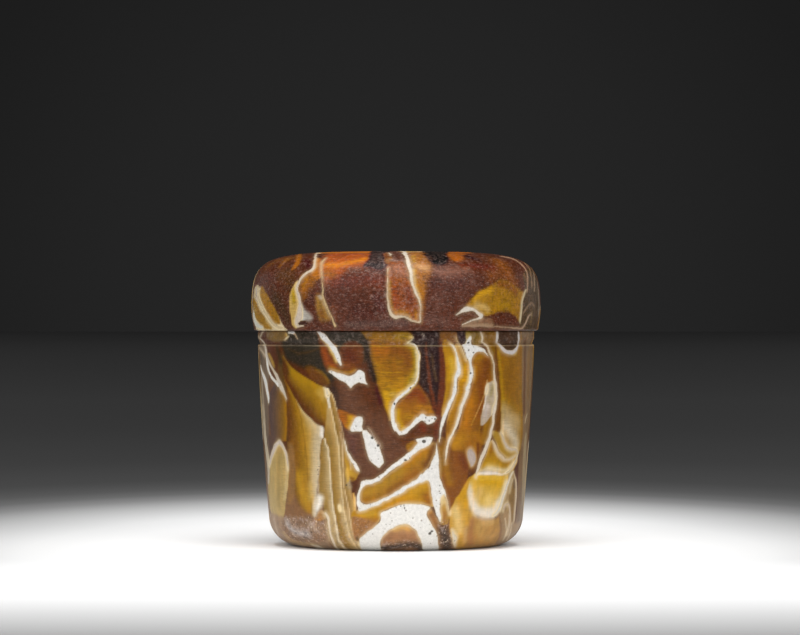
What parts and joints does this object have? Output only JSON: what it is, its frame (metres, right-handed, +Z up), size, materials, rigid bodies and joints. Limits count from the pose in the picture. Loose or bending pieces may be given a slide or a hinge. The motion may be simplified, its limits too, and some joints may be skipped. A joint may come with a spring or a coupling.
{
  "type": "lidded round box",
  "caption": "Small round lidded box of banded amber, brown and white glass, with a lid that lifts straight off a low collar.",
  "frame": {"origin": "centre of the flat foot, on the surface that the box stands on", "axes": "+Z up along the turning axis, towards the crown of the lid; -Y faces the viewer, the side whose banding the picture shows; +X to the viewer's right"},
  "size_m": [0.042, 0.042, 0.0425],
  "materials": {
    "box_glass": "banded amber, brown and white glass, satin polish",
    "lid_glass": "banded red-brown, amber and white glass, satin polish"
  },
  "bodies": {
    "box": {"box": "box_glass"},
    "lid": {"lid": "lid_glass"}
  },
  "joints": [
    {"name": "lid_lift", "type": "slide", "parent": "box", "child": "lid", "axis": [0, 0, 1], "range_m": [0, 0.045]}
  ]
}
